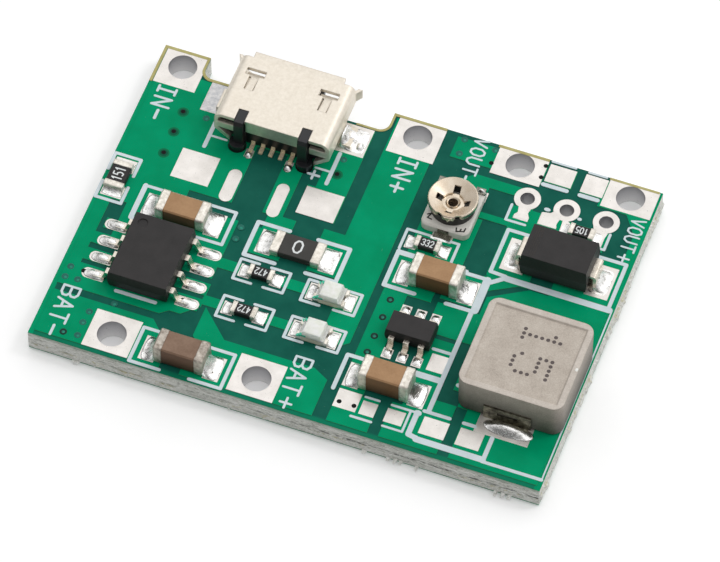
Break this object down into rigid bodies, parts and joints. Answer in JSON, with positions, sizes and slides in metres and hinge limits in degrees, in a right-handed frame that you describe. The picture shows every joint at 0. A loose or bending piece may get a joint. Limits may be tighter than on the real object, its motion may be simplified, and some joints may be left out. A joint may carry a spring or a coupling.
{
  "type": "dc-dc boost converter module",
  "caption": "Small green charge and boost converter board with a micro-USB socket, wire pads, an inductor and a turning trimmer.",
  "frame": {"origin": "centre of the board's underside, where it rests", "axes": "+X along the long side towards the inductor, +Y towards the socket's mouth, +Z out of the parts side"},
  "size_m": [0.0326, 0.023, 0.0044],
  "materials": {
    "laminate": "glass fibre laminate, sawn and snapped edges",
    "copper": "foil under the mask",
    "solder_mask": "glossy green mask",
    "tinned_copper": "hot air levelled tin, satin",
    "solder": "reflowed solder, bright",
    "shell_steel": "nickel plated sheet, satin",
    "black_moulding": "moulded, satin",
    "gold_contacts": "thin gold over nickel",
    "chip_moulding": "filled epoxy, matt",
    "tinned_leads": "matt tin",
    "pressed_iron": "pressed iron powder, lacquered",
    "capacitor_ceramic": "fired ceramic, semi gloss",
    "resistor_ceramic": "black glaze over white ceramic",
    "tinned_ends": "matt tin over nickel",
    "lamp_carrier": "white carrier",
    "lamp_lens": "clear resin",
    "trimmer_ceramic": "white ceramic",
    "carbon_track": "black film",
    "trimmer_metal": "bright plated sheet"
  },
  "bodies": {
    "board": {"back_led_base": "lamp_carrier", "back_led_ends": "gold_contacts", "back_led_lens": "lamp_lens", "back_led_resistor_body": "resistor_ceramic", "back_led_resistor_ends": "tinned_ends", "battery_capacitor_body": "capacitor_ceramic", "battery_capacitor_ends": "tinned_ends", "battery_negative_pad": "tinned_copper", "battery_positive_pad": "tinned_copper", "boost_capacitor_body": "capacitor_ceramic", "boost_capacitor_ends": "tinned_ends", "boost_chip_body": "chip_moulding", "boost_chip_leads": "tinned_leads", "bottom_copper": "copper", "bottom_solder_mask": "solder_mask", "charger_capacitor_body": "capacitor_ceramic", "charger_capacitor_ends": "tinned_ends", "charger_chip_body": "chip_moulding", "charger_chip_leads": "tinned_leads", "diode_body": "chip_moulding", "diode_leads": "tinned_leads", "edge_resistor_body": "resistor_ceramic", "edge_resistor_ends": "tinned_ends", "feedback_resistor_body": "resistor_ceramic", "feedback_resistor_ends": "tinned_ends", "front_led_base": "lamp_carrier", "front_led_ends": "gold_contacts", "front_led_lens": "lamp_lens", "front_led_resistor_body": "resistor_ceramic", "front_led_resistor_ends": "tinned_ends", "inductor_body": "pressed_iron", "inductor_terminals": "tinned_leads", "input_negative_pad": "tinned_copper", "input_positive_pad": "tinned_copper", "laminate": "laminate", "link_resistor_body": "resistor_ceramic", "link_resistor_ends": "tinned_ends", "output_capacitor_body": "capacitor_ceramic", "output_capacitor_ends": "tinned_ends", "output_negative_pad": "tinned_copper", "output_positive_pad": "tinned_copper", "solder_joints": "solder", "surface_pads": "tinned_copper", "top_copper": "copper", "top_solder_mask": "solder_mask", "trimmer_base": "trimmer_ceramic", "trimmer_eyelet": "trimmer_metal", "trimmer_header_rings": "tinned_copper", "trimmer_resistor_body": "resistor_ceramic", "trimmer_resistor_ends": "tinned_ends", "trimmer_terminals": "tinned_leads", "trimmer_track": "carbon_track", "usb_contacts": "gold_contacts", "usb_housing": "black_moulding", "usb_shell": "shell_steel"},
    "trimmer_dial": {"trimmer_rotor": "trimmer_metal"}
  },
  "joints": [
    {"name": "trimmer_turn", "type": "hinge", "parent": "board", "child": "trimmer_dial", "pos_m": [0.00473, 0.00562, 0.0029], "axis": [0, 0, 1], "range_deg": [-105, 105]}
  ]
}
